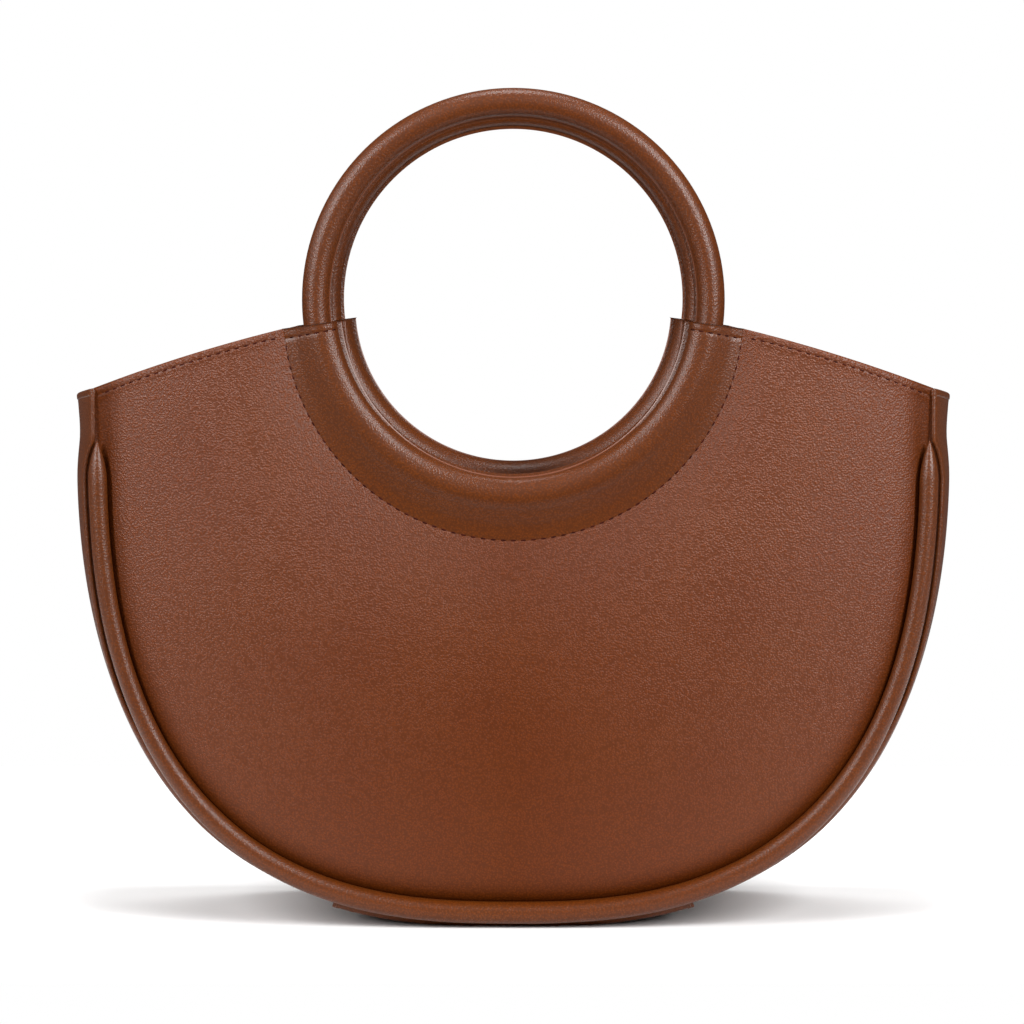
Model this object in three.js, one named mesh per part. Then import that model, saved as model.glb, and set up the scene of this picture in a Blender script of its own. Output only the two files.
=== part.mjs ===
// Half-moon leather handbag with two ring handles, open at the top.
// Millimetres, +Z up. The front faces -Y, and the origin is on the floor under the middle of the bag.
import * as THREE from "three";

// Outline of the bag from the front, which the centre line of the piping follows
const HALF_WIDTH = 146;
const SHOULDER_Z = 172; // the piping ends in a point here, and the edge runs straight up above it
const LOWEST_Z = 5.4;
const OUTLINE_POWER = 2.58; // 2 would be half an ellipse, and more is squarer
const TOP_CORNER_Z = 190.1;
const HALF_DEPTH = 45; // from the middle of the bag to the plane of a piping, a ring and a collar

// Leather and sewing
const LEATHER = 1.8;
const GAP = 0.3; // between pieces that are sewn together
const LENGTH_TOLERANCE = 0.001;

// Piping
const PIPING_RADIUS = 3.9;
const PIPING_TIP_RADIUS = 0.4;
const PIPING_TIP_LENGTH = 14; // length over which each end draws in to its point
const PIPING_SIDES = 8;
const PIPING_STEPS = 44;

// Ring handle
const RING_Z = 220.8;
const RING_RADIUS = 68.9; // to the middle of the tube
const TUBE_RADIUS = 4.85;
const RING_STEPS = 40;
const TUBE_SIDES = 10;

// Collar: a padded casing round the lower half of the ring, with a flat flange sewn to the panel
const COLLAR_END_ANGLE = THREE.MathUtils.degToRad(-7); // its two ends lie just under the ring's middle
const COLLAR_BORE_RADIUS = 5.7;
const COLLAR_CASING_RADIUS = 7.2;
const COLLAR_SEAM_RADIUS = 58.7; // innermost edge, where its two layers are sewn together
const COLLAR_SEAM_DROP = 3; // that edge is an arc about a point this far under the ring's middle
const COLLAR_SEAM_HALF_WIDTH = 0.9;
const COLLAR_SEAM_SPREAD = 2; // half thickness of the casing where its layers draw together to that seam
const SEAM_ARC_RADIUS = 80.2; // seam between collar and panel, an arc about a point under the ring's middle
const SEAM_ARC_DROP = 3.7;
const COLLAR_STEPS = 22;
const CASING_FACET = THREE.MathUtils.degToRad(25);
const CASING_FRONT_ANGLE = THREE.MathUtils.degToRad(310); // where the flange leaves the casing's front
const CASING_BACK_ANGLE = THREE.MathUtils.degToRad(25);

// Panel
const BELLY = 9; // how far the middle swells beyond the plane of the piping
const SEAM_RISE = 2.2; // how far the seam with the collar stands forward
const EDGE_ROLL = 4.6; // how far the edge turns in behind the piping
const EDGE_ROLL_WIDTH = 3.2;
const EDGE_REACH = 0.6; // share of the piping's radius that the turned edge reaches behind it
const TOP_EDGE_BOW = 1.1; // the top edges are slightly arched
const PANEL_ARC_SHARE = 0.62; // share of the half outline that faces the collar, the rest the top edge
const PANEL_ARC_COLUMNS = 14;
const PANEL_TOP_COLUMNS = 8;
const PANEL_ROWS = 9;
const PANEL_ROW_POWER = 1.7; // packs the rows towards the rolled edge

// Gusset: side and bottom strips
const SIDE_BULGE = 10.4; // swell at mid-depth beyond the piping's centre line
const BASE_BULGE = 6.6; // more than the piping's height, so the base lies flat under it
const BULGE_RISE = [11, 161]; // heights between which the one grows into the other
const BULGE_POWER = 2.4;
const LIP_AT_TIP = 1.9; // how far the gusset's edge stands out beside the panel's top corner
const LIP_AT_BASE = 3; // beside the full piping at the bottom
const LIP_AT_SIDE = 5.4; // and up the sides, where it shows outside the piping
const LIP_RISE = [6, 40];
const LIP_TURNED_IN = 0.9; // where its edge ends, turned in behind the full piping
const LIP_TURN_WIDTH = 2.5;
const HEM_DIP = 3.5; // the top hem dips at mid-depth
const STANDING_SEAM_X = 61; // seams between the base and the side gussets
const STANDING_SEAM_HEIGHT = 3.2;
const STANDING_SEAM_LAYER = 1.2;
const STANDING_SEAM_STEP = 0.1; // length over which the seam's side rises from the strip
const GUSSET_COLUMNS = 8; // between the turned edges
const SIDE_GUSSET_ROWS = 14;
const BASE_GUSSET_ROWS = 8;

const GRAINED_LEATHER = new THREE.MeshStandardMaterial({ color: "#7a442c", roughness: 0.55, metalness: 0 });
const SMOOTH_LEATHER = new THREE.MeshStandardMaterial({ color: "#6e3c27", roughness: 0.45, metalness: 0 });

// Lower edge of the bag from the left tip to the right tip, in the plane of its front
class HalfMoonCurve extends THREE.Curve {
  getPoint(t, target = new THREE.Vector3()) {
    const angle = Math.PI * (t - 0.5);
    const across = Math.sign(angle) * Math.abs(Math.sin(angle)) ** (2 / OUTLINE_POWER);
    const down = Math.abs(Math.cos(angle)) ** (2 / OUTLINE_POWER);
    return target.set(HALF_WIDTH * across, 0, SHOULDER_Z - (SHOULDER_Z - LOWEST_Z) * down);
  }
}

const halfMoon = new HalfMoonCurve();
halfMoon.arcLengthDivisions = 800;
const halfLength = halfMoon.getLength() / 2;

// Point of the outline and its outward normal, at a length measured from the middle of the bottom
function outlineAt(length) {
  const beyondTip = Math.abs(length) - halfLength;
  if (beyondTip >= 0) {
    const side = Math.sign(length);
    return {
      point: new THREE.Vector3(side * HALF_WIDTH, 0, SHOULDER_Z + beyondTip),
      outward: new THREE.Vector3(side, 0, 0),
    };
  }
  const share = 0.5 + length / (2 * halfLength);
  const along = halfMoon.getTangentAt(share);
  return {
    point: halfMoon.getPointAt(share),
    outward: new THREE.Vector3(along.z, 0, -along.x),
  };
}

// Piping radius at a length from the middle of the bottom: full, then drawn in to each tip
function pipingRadiusAt(length) {
  const toTip = THREE.MathUtils.clamp((halfLength - Math.abs(length)) / PIPING_TIP_LENGTH, 0, 1);
  const drawnIn = (1 - toTip) ** 2;
  return THREE.MathUtils.lerp(PIPING_RADIUS, PIPING_TIP_RADIUS, drawnIn);
}

// Length along the outline, from the middle of the bottom, at which it is this far from the middle
function outlineLengthAtX(x) {
  let low = 0;
  let high = halfLength;
  while (high - low > LENGTH_TOLERANCE) {
    const middle = (low + high) / 2;
    if (outlineAt(middle).point.x < x) low = middle;
    else high = middle;
  }
  return low;
}

// Arch that is 0 at both ends of a share from 0 to 1, and 1 at its middle
function arch(share) {
  return 4 * share * (1 - share);
}

function geometryOf(positions, triangles) {
  const geometry = new THREE.BufferGeometry();
  geometry.setFromPoints(positions);
  geometry.setIndex(triangles);
  geometry.computeVertexNormals();
  return geometry;
}

// Wall between two grids of points, outer[i][j] and inner[i][j], closed round its four edges.
// The outer face looks along (step in i) x (step in j).
function shellGeometry(outer, inner) {
  const rows = outer.length;
  const columns = outer[0].length;
  const positions = [...outer.flat(), ...inner.flat()];
  const triangles = [];
  const outerAt = (i, j) => i * columns + j;
  const innerAt = (i, j) => (rows + i) * columns + j;
  const quad = (a, b, c, d) => triangles.push(a, b, c, a, c, d);
  for (let i = 0; i + 1 < rows; i += 1) {
    for (let j = 0; j + 1 < columns; j += 1) {
      quad(outerAt(i, j), outerAt(i + 1, j), outerAt(i + 1, j + 1), outerAt(i, j + 1));
      quad(innerAt(i, j), innerAt(i, j + 1), innerAt(i + 1, j + 1), innerAt(i + 1, j));
    }
    quad(outerAt(i, 0), innerAt(i, 0), innerAt(i + 1, 0), outerAt(i + 1, 0));
    const last = columns - 1;
    quad(outerAt(i + 1, last), innerAt(i + 1, last), innerAt(i, last), outerAt(i, last));
  }
  for (let j = 0; j + 1 < columns; j += 1) {
    quad(outerAt(0, j + 1), innerAt(0, j + 1), innerAt(0, j), outerAt(0, j));
    const last = rows - 1;
    quad(outerAt(last, j), innerAt(last, j), innerAt(last, j + 1), outerAt(last, j + 1));
  }
  return geometryOf(positions, triangles);
}

// Solid swept through sections with flat ends. A section has a counter-clockwise contour and clockwise
// holes of Vector2, and a function that places a Vector2 in space.
function sweptGeometry(sections) {
  const positions = [];
  const triangles = [];
  const loopsOf = (section) => [section.contour, ...section.holes];
  const pointsPerSection = loopsOf(sections[0]).flat().length;
  for (const section of sections) {
    for (const point of loopsOf(section).flat()) positions.push(section.place(point));
  }
  for (let k = 0; k + 1 < sections.length; k += 1) {
    let loopStart = k * pointsPerSection;
    for (const loop of loopsOf(sections[k])) {
      for (let i = 0; i < loop.length; i += 1) {
        const here = loopStart + i;
        const next = loopStart + ((i + 1) % loop.length);
        triangles.push(here, next, next + pointsPerSection);
        triangles.push(here, next + pointsPerSection, here + pointsPerSection);
      }
      loopStart += loop.length;
    }
  }
  const lastStart = (sections.length - 1) * pointsPerSection;
  for (const [a, b, c] of THREE.ShapeUtils.triangulateShape(sections[0].contour, sections[0].holes)) {
    triangles.push(a, c, b);
    triangles.push(lastStart + a, lastStart + b, lastStart + c);
  }
  return geometryOf(positions, triangles);
}

function circlePoints(centreX, centreY, radius, sides) {
  return Array.from({ length: sides }, (_, i) => {
    const angle = (2 * Math.PI * i) / sides;
    return new THREE.Vector2(centreX + radius * Math.cos(angle), centreY + radius * Math.sin(angle));
  });
}

function namedMesh(name, geometry, material) {
  const mesh = new THREE.Mesh(geometry, material);
  mesh.name = name;
  return mesh;
}

// Distance from the ring's middle to an arc about the seam's middle, in a direction given by its angle
function seamReach(angle, arcRadius) {
  return Math.sqrt(arcRadius ** 2 - (SEAM_ARC_DROP * Math.cos(angle)) ** 2) - SEAM_ARC_DROP * Math.sin(angle);
}

// Panel: a sheet stretched between the rolled edge beside the piping and its upper edge.
// A column is a share from -1 to 1 round the half-moon, and a row runs from 0 at the piping to 1 at the top.
function panelUpperPoint(share) {
  const side = share < 0 ? -1 : 1;
  const part = Math.abs(share);
  const arcAngle = (alongArc) => THREE.MathUtils.lerp(-Math.PI / 2, COLLAR_END_ANGLE, alongArc);
  const onArc = (alongArc) => {
    const angle = arcAngle(alongArc);
    const reach = seamReach(angle, SEAM_ARC_RADIUS + GAP / 2);
    return new THREE.Vector3(side * reach * Math.cos(angle), 0, RING_Z + reach * Math.sin(angle));
  };
  if (part <= PANEL_ARC_SHARE) return onArc(part / PANEL_ARC_SHARE);
  const alongTop = (part - PANEL_ARC_SHARE) / (1 - PANEL_ARC_SHARE);
  const corner = new THREE.Vector3(side * (HALF_WIDTH - GAP), 0, TOP_CORNER_Z);
  const point = onArc(1).lerp(corner, alongTop);
  point.z += TOP_EDGE_BOW * arch(alongTop);
  return point;
}

function panelGeometry() {
  const columnsPerHalf = PANEL_ARC_COLUMNS + PANEL_TOP_COLUMNS;
  const shareOfColumn = (column) => {
    const index = Math.abs(column);
    const share =
      index <= PANEL_ARC_COLUMNS
        ? (index / PANEL_ARC_COLUMNS) * PANEL_ARC_SHARE
        : PANEL_ARC_SHARE + ((index - PANEL_ARC_COLUMNS) / PANEL_TOP_COLUMNS) * (1 - PANEL_ARC_SHARE);
    return Math.sign(column) * share;
  };
  const outer = [];
  for (let column = -columnsPerHalf; column <= columnsPerHalf; column += 1) {
    const share = shareOfColumn(column);
    const { point: edge, outward } = outlineAt(share * halfLength);
    const pipingRadius = pipingRadiusAt(share * halfLength);
    const low = edge.addScaledVector(outward, -(pipingRadius * (1 - EDGE_REACH) + GAP));
    const high = panelUpperPoint(share);
    const fullness = 1 - share ** 2;
    const alongTop = Math.max(0, Math.abs(share) - PANEL_ARC_SHARE) / (1 - PANEL_ARC_SHARE);
    const upperRise = SEAM_RISE * (1 - alongTop ** 2);
    const rollDepth = EDGE_ROLL * (pipingRadius / PIPING_RADIUS);
    const points = [];
    for (let j = 0; j <= PANEL_ROWS; j += 1) {
      const row = (j / PANEL_ROWS) ** PANEL_ROW_POWER;
      const point = low.clone().lerp(high, row);
      const fromEdge = low.clone().sub(point).dot(outward);
      const belly = BELLY * fullness * arch(row);
      const rise = upperRise * row;
      const roll = rollDepth * Math.exp(-fromEdge / EDGE_ROLL_WIDTH);
      point.y = -(HALF_DEPTH + belly + rise - roll);
      points.push(point);
    }
    outer.push(points);
  }
  const inner = outer.map((points) => points.map((point) => point.clone().setY(point.y + LEATHER)));
  return shellGeometry(outer, inner);
}

// Piping: a round roll along the outline, drawn in to a point at each end
function pipingGeometry() {
  const sections = [];
  for (let k = 0; k <= PIPING_STEPS; k += 1) {
    const length = halfLength * THREE.MathUtils.lerp(-1, 1, k / PIPING_STEPS);
    const { point, outward } = outlineAt(length);
    sections.push({
      contour: circlePoints(0, 0, pipingRadiusAt(length), PIPING_SIDES),
      holes: [],
      place: (p) => point.clone().addScaledVector(outward, p.x).setY(p.y - HALF_DEPTH),
    });
  }
  return sweptGeometry(sections);
}

// Collar section in (distance from the ring's middle, depth): round the ring's tube, then along the flange
function collarContour(angle) {
  const flangeEdge = seamReach(angle, SEAM_ARC_RADIUS - GAP / 2);
  const casing = (turn) =>
    new THREE.Vector2(
      RING_RADIUS + COLLAR_CASING_RADIUS * Math.cos(turn),
      COLLAR_CASING_RADIUS * Math.sin(turn),
    );
  const seamTurn = Math.asin(COLLAR_SEAM_SPREAD / COLLAR_CASING_RADIUS);
  const seamRadius = COLLAR_SEAM_RADIUS - COLLAR_SEAM_DROP * Math.sin(angle);
  const contour = [new THREE.Vector2(flangeEdge, LEATHER - SEAM_RISE)];
  for (let turn = CASING_BACK_ANGLE; turn < Math.PI - seamTurn; turn += CASING_FACET) {
    contour.push(casing(turn));
  }
  contour.push(new THREE.Vector2(seamRadius, COLLAR_SEAM_HALF_WIDTH));
  contour.push(new THREE.Vector2(seamRadius, -COLLAR_SEAM_HALF_WIDTH));
  for (let turn = Math.PI + seamTurn; turn < CASING_FRONT_ANGLE; turn += CASING_FACET) {
    contour.push(casing(turn));
  }
  contour.push(casing(CASING_FRONT_ANGLE));
  contour.push(new THREE.Vector2(flangeEdge, -SEAM_RISE));
  return contour;
}

function collarGeometry() {
  const bore = circlePoints(RING_RADIUS, 0, COLLAR_BORE_RADIUS, TUBE_SIDES).reverse();
  const sections = [];
  for (let k = 0; k <= COLLAR_STEPS; k += 1) {
    const angle = THREE.MathUtils.lerp(-Math.PI - COLLAR_END_ANGLE, COLLAR_END_ANGLE, k / COLLAR_STEPS);
    sections.push({
      contour: collarContour(angle),
      holes: [bore],
      place: (p) =>
        new THREE.Vector3(p.x * Math.cos(angle), p.y - HALF_DEPTH, RING_Z + p.x * Math.sin(angle)),
    });
  }
  return sweptGeometry(sections);
}

function ringGeometry() {
  const tube = circlePoints(RING_RADIUS, 0, TUBE_RADIUS, TUBE_SIDES);
  return new THREE.LatheGeometry([...tube, tube[0]], RING_STEPS);
}

// One side of the bag: its panel, piping, collar and ring, made as the front
function makeSide(name) {
  const side = new THREE.Group();
  side.add(namedMesh(`${name}_panel`, panelGeometry(), GRAINED_LEATHER));
  side.add(namedMesh(`${name}_piping`, pipingGeometry(), SMOOTH_LEATHER));
  side.add(namedMesh(`${name}_collar`, collarGeometry(), SMOOTH_LEATHER));
  const ring = namedMesh(`${name}_ring`, ringGeometry(), SMOOTH_LEATHER);
  ring.position.set(0, -HALF_DEPTH, RING_Z);
  side.add(ring);
  return side;
}

// Gusset: how far its outer face stands out from the outline, at a place across it from -1 to 1
function gussetOffset(length, z, across) {
  const fullness = pipingRadiusAt(length) / PIPING_RADIUS;
  const lipRise = THREE.MathUtils.smoothstep(z, ...LIP_RISE);
  const lipBesidePiping = THREE.MathUtils.lerp(LIP_AT_BASE, LIP_AT_SIDE, lipRise);
  const lip = THREE.MathUtils.lerp(LIP_AT_TIP, lipBesidePiping, fullness);
  if (Math.abs(across) === 1) return THREE.MathUtils.lerp(lip, LIP_TURNED_IN, fullness);
  const bulgeRise = THREE.MathUtils.smoothstep(z, ...BULGE_RISE);
  const bulge = THREE.MathUtils.lerp(BASE_BULGE, SIDE_BULGE, bulgeRise);
  return THREE.MathUtils.lerp(bulge, lip, Math.abs(across) ** BULGE_POWER);
}

// Rows of a gusset strip, as shares of its length. An end is plain, or turned out as half of a standing seam.
function gussetRows(count, seamAtStart, seamAtEnd) {
  const rows = Array.from({ length: count + 1 }, (_, i) => ({ share: i / count, inset: 0, raised: 0 }));
  const seam = [
    { inset: 0, raised: STANDING_SEAM_HEIGHT },
    { inset: STANDING_SEAM_LAYER, raised: STANDING_SEAM_HEIGHT },
    { inset: STANDING_SEAM_LAYER + STANDING_SEAM_STEP, raised: 0 },
  ];
  if (seamAtStart) {
    rows.splice(0, 1, ...seam.map((row) => ({ ...row, share: 0 })));
  }
  if (seamAtEnd) {
    rows.splice(-1, 1, ...seam.map((row) => ({ ...row, share: 1, inset: -row.inset })).reverse());
  }
  return rows;
}

// Gusset strip between two lengths along the outline. An end past the piping's tip is a hem that dips at
// mid-depth, and what would go under the floor lies flat on it.
function gussetGeometry(start, end, rows) {
  const shoulder = 1 - LIP_TURN_WIDTH / HALF_DEPTH;
  const columns = [1];
  for (let j = 0; j <= GUSSET_COLUMNS; j += 1) columns.push(shoulder * (1 - (2 * j) / GUSSET_COLUMNS));
  columns.push(-1);
  const dipped = (length, across) => {
    const dip = Math.abs(length) > halfLength ? HEM_DIP * (1 - across ** 2) : 0;
    return length - Math.sign(length) * dip;
  };
  const faceAt = ({ share, inset }, across, extra, floor) => {
    const length = THREE.MathUtils.lerp(dipped(start, across), dipped(end, across), share) + inset;
    const { point, outward } = outlineAt(length);
    const offset = gussetOffset(length, point.z, across) + extra;
    point.addScaledVector(outward, offset);
    point.y = across * (HALF_DEPTH - pipingRadiusAt(length) - GAP);
    point.z = Math.max(point.z, floor);
    return point;
  };
  const outer = rows.map((row) => columns.map((across) => faceAt(row, across, row.raised, 0)));
  const inner = rows.map((row) => columns.map((across) => faceAt(row, across, -LEATHER, LEATHER)));
  return shellGeometry(outer, inner);
}

const front = makeSide("front");
const back = makeSide("back");
back.rotation.z = Math.PI;

const seamLength = outlineLengthAtX(STANDING_SEAM_X);
const topLength = halfLength + TOP_CORNER_Z - SHOULDER_Z;
const sideStart = seamLength + GAP / 2;
const baseEnd = seamLength - GAP / 2;
const leftStrip = gussetGeometry(-topLength, -sideStart, gussetRows(SIDE_GUSSET_ROWS, false, true));
const baseStrip = gussetGeometry(-baseEnd, baseEnd, gussetRows(BASE_GUSSET_ROWS, true, true));
const rightStrip = gussetGeometry(sideStart, topLength, gussetRows(SIDE_GUSSET_ROWS, true, false));
const gusset = new THREE.Group();
gusset.add(namedMesh("gusset_left", leftStrip, SMOOTH_LEATHER));
gusset.add(namedMesh("base_gusset", baseStrip, SMOOTH_LEATHER));
gusset.add(namedMesh("gusset_right", rightStrip, SMOOTH_LEATHER));

const handbag = new THREE.Group();
handbag.add(front, back, gusset);

export default handbag;
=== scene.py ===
"""Dresses a half-moon handbag: grained panels, padded piping, sewn collars and leather-covered rings."""

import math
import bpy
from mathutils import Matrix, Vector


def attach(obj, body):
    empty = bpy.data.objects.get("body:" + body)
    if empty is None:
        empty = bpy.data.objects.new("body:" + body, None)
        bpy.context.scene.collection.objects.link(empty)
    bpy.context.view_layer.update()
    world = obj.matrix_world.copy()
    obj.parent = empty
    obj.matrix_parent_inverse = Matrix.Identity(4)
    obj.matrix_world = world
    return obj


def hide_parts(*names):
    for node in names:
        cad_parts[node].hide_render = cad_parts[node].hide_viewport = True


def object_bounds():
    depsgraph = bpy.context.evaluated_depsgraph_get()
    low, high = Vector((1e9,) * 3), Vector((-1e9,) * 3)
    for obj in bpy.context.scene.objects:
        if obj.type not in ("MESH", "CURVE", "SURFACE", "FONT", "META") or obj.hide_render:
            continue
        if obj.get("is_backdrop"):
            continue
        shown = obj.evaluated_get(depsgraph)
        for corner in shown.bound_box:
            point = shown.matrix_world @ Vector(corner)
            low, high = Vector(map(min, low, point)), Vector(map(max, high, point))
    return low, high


bl_info = {
    "name": "Half-Moon Handbag",
    "version": (1, 0, 0),
    "blender": (4, 5, 0),
    "location": "View3D > Sidebar > Handbag",
    "description": "Models a leather handbag with ring handles over its packed frame",
    "category": "Add Mesh",
}

from bisect import bisect_right
from itertools import accumulate

import bmesh
import bpy
from bpy.props import FloatProperty, FloatVectorProperty, PointerProperty
from mathutils import Matrix, Vector, noise

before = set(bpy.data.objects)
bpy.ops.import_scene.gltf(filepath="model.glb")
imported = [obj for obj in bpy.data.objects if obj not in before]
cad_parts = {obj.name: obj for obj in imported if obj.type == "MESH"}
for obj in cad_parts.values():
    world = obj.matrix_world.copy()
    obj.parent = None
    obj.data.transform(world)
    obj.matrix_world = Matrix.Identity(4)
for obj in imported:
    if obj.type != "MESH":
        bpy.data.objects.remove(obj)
CAD_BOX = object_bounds()

MM = 0.001

# Outline of the bag from the front, which the centre line of the piping follows
OUTLINE_POWER = 2.58  # 2 would be half an ellipse, and more is squarer
OUTLINE_SAMPLES = 1600
OUTLINE_STEP = 1e-4

# Sewing
GAP = 0.3 * MM  # between pieces that are sewn together
SEAM_GAP = 0.03 * MM  # and between collar and panel, which butt
SEAM_DIP = 0.1  # share of the leather that is rounded off along that seam
SEAM_ROUND = 0.5 * MM
HEM_STITCH = 3.1 * MM  # from a top edge down to its stitches
GROOVE_DEPTH = 0.3 * MM  # the thread draws the leather in
GROOVE_WIDTH = 0.5 * MM
STITCH_HALF_LENGTH = 1 * MM
STITCH_HALF_WIDTH = 0.4 * MM
STITCH_HALF_HEIGHT = 0.3 * MM
STITCH_SUNK = 0.12 * MM
SEAM_PITCH_RATIO = 1.07  # the stitches round the collar are slightly longer
STITCH_PATH_STEPS = 60
TOP_STITCH_END = 0.985  # share of the half panel at which the last stitch of a top hem ends
SEAM_STITCH_END = 0.97  # and part of the collar at which those of its seam do

# Panel
SEAM_RISE = 2.2 * MM  # how far the seam with the collar stands forward
SEAM_RISE_SPREAD = 28 * MM
EDGE_ROLL = 4 * MM  # how far the edge turns in behind the piping
EDGE_ROLL_WIDTH = 4.5 * MM
EDGE_ROLL_AT_TIP = 0.5  # share of that roll that is left above the piping's tips
EDGE_REACH = 0.6  # share of the piping's radius that the turned edge reaches behind it
TIP_REACH = 0.95 * MM  # how far the edge reaches out to the gusset above the piping's tips
TOP_EDGE_BOW = 1.1 * MM
PANEL_ARC_SHARE = 0.62  # share of the half outline that faces the collar, the rest the top edge
PANEL_ARC_COLUMNS = 70
PANEL_TOP_COLUMNS = 46
PANEL_MIDDLE_ROWS = 36
HEM_ROWS = [d * MM for d in (0, 0.06, 0.2, 0.4, 0.7, 1, 1.4, 1.9, 2.3, 2.6, 2.85, 3.1, 3.35, 3.6, 4, 4.6,
                             5.5, 7)]
CREASE_ROWS = [d * MM for d in (0, 0.6, 1.2, 1.8, 2.4, 3, 3.7, 4.5, 5.4, 6.4, 7.6, 9, 10.8, 13)]
SHORT_COLUMN_SHARE = 0.8  # most of a short column that those rows may take
HEM_EXTRA = 0.7 * MM  # how much thicker the turned hem is
HEM_STEP = (3.36 * MM, 5.46 * MM)  # from the top edge down to where that hem thins out
HEM_FADE = 0.12  # share of the top edge over which the hem starts beside the collar
SLACK = 0.5 * MM  # the soft unevenness of a leather side
SLACK_SIZE = 46 * MM
FROM_OUTLINE = "from_outline"  # vertex attribute with a panel's distance from the bag's edge
EDGE_TIGHT = (2.5 * MM, 12 * MM)  # nearer than this the leather is drawn tight, so smoother and duller
EDGE_TIGHT_SHARE = 0.3
EDGE_PAINTED_SHADE = 0.35  # power of that share by which its colour is darkened: painted shade in the crease beside the piping

# Piping
PIPING_TIP_LENGTH = 15 * MM
PIPING_STEPS = 320
PIPING_SIDES = 28
PIPING_SLIMMER = 0.6 * MM  # beside the gusset's lip, which shows past the roll up the sides
PIPING_DRAWN_IN = 0.45 * MM
UP_THE_SIDES = (20 * MM, 90 * MM)
PIPING_UNEVEN = 0.018  # share of its radius
PIPING_UNEVEN_SIZE = 17 * MM

# Gusset
SIDE_BULGE = 10.4 * MM
BASE_BULGE = 6.6 * MM
BULGE_RISE = (11 * MM, 161 * MM)
PINCH = 1 * MM  # the sides are drawn in where the piping ends
PINCH_HEIGHT = 174.3 * MM
PINCH_SPREAD = 10 * MM
BULGE_POWER = 2.4
LIP_AT_TIP = 1.9 * MM
LIP_AT_BASE = 4.3 * MM
LIP_AT_SIDE = 5.4 * MM
LIP_RISE = (6 * MM, 40 * MM)
LIP_TURNED_IN = 0.9 * MM  # under the bag, where the piping hides it
LIP_FORWARD = 0.2  # share of the piping's radius that the lip reaches forward beside it, up the sides
LIP_TURN_WIDTH = 2.5 * MM
HEM_DIP = 2.7 * MM  # how far the top hem sags between front and back
GUSSET_HEM = 2.7 * MM  # from that hem's edge down to the line where its fold ends
GUSSET_HEM_SLOPE = 0.9 * MM
GUSSET_HEM_LINE = 0.25 * MM
GUSSET_HEM_DEPTH = 0.15 * MM
GUSSET_HEM_ROWS = [d * MM for d in (0, 0.06, 0.2, 0.4, 0.7, 1, 1.4, 1.9, 2.2, 2.4, 2.5, 2.6, 2.7, 2.8, 2.9,
                                    3, 3.2, 3.6, 4.4, 5.5, 7)]
FAR_FROM_HEM = 1.0  # distance for rows that have no hem near them
STANDING_SEAM_X = 61 * MM
STANDING_SEAM_HEIGHT = 2 * MM
BASE_DROP = 1.8 * MM  # the base strip lies this much lower than the side strips that it is sewn to
STANDING_SEAM_LAYER = 1.2 * MM
STANDING_SEAM_FILLET = 0.25 * MM
SEAM_ROWS = [d * MM for d in (0, 0.1, 0.3, 0.7, 1.05, 1.15, 1.22, 1.3, 1.4, 1.6, 2.2, 3.2)]
SIDE_GUSSET_ROWS = 90
BASE_GUSSET_ROWS = 60
GUSSET_COLUMNS = 44
GUSSET_EDGE_SHARES = (1, 0.9985, 0.995, 0.99, 0.984, 0.976, 0.965, 0.95)

# Collar. Its contour is in millimetres outwards from the middle of the ring's tube and forward of it.
COLLAR_INNER_RADIUS = 59 * MM
COLLAR_INNER_END = math.radians(-6.7)
COLLAR_OUTER_END = math.radians(-7)
SEAM_ARC_RADIUS = 80.2 * MM
SEAM_ARC_DROP = 3.7 * MM
COLLAR_STEPS = 110
COLLAR_MEAN_RADIUS = 70 * MM
COLLAR_BORE_RADIUS = 5.7 * MM
COLLAR_BORE_SIDES = 32
COLLAR_END_ROUND = 0.6 * MM
COLLAR_BACK = ((11, 0.35), (8.3, -1.3), (5.7, -3.3), (3.3, -5.7), (0.1, -7.05), (-3, -6.9), (-5.8, -5.7),
               (-7.6, -3.6), (-8.2, -1.4))
COLLAR_FRONT = ((-7, 1.4), (-6.8, 3.6), (-5.6, 5.6), (-2.9, 6.9), (0.3, 7.1), (3, 6.1), (5.6, 4.6),
                (8.2, 3.15), (10.95, 2.3))
COLLAR_FACE = 2  # what is further forward than this is its front face, which the hem's thread draws in
COLLAR_FLANGE_EDGE = ((11.3, 2.15), (11.3, 0.7))
COLLAR_FLANGE_START = 4  # the flange outside this is stretched to the seam with the panel
COLLAR_CURVE_STEPS = 5
# Innermost edge of the casing's front layer, at the bottom and at its two ends, and of its rear layer, which
# parts from it towards the ends
FRONT_LIP = (-7.3, -8.6)
FRONT_LIP_POWER = 1.5
REAR_LIP = {"front": (-7.1, -9.9), "back": (-8.7, -9.9)}
REAR_LIP_POWER = 3
# Points round both lips: the layer, how far out from its innermost edge, and how far forward
COLLAR_LIPS = (
    ("front", 0.9, -1.15), ("rear", 0.35, -1), ("rear", 0, -0.85), ("rear", 0, -0.25), ("rear", 0.35, -0.12),
    ("front", 1.1, 0), ("front", 0.1, 0.15), ("front", 0, 0.3), ("front", 0, 0.85), ("front", 0.35, 1.05))
COLLAR_PAINTED_STEPS = (1, 2, 3, 6, 7, 8)  # steps of that list that are cut edges

# Ring
RING_STEPS = 168
TUBE_POINTS = 40
RING_LIP_ANGLE = math.radians(15)
RING_LIPS = ((-4.7, 1.1), (-5, 0.85), (-5, 0.3), (-4.6, 0.05), (-5.3, -0.2), (-5.9, -0.3), (-5.9, -0.8),
             (-4.7, -1.1))
RING_PAINTED_STEPS = (0, 1, 5)  # steps of that list that are cut edges
RING_PAINT_REACH = 0.12 * MM  # how near to the middle of a cut edge a face has its paint

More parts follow.
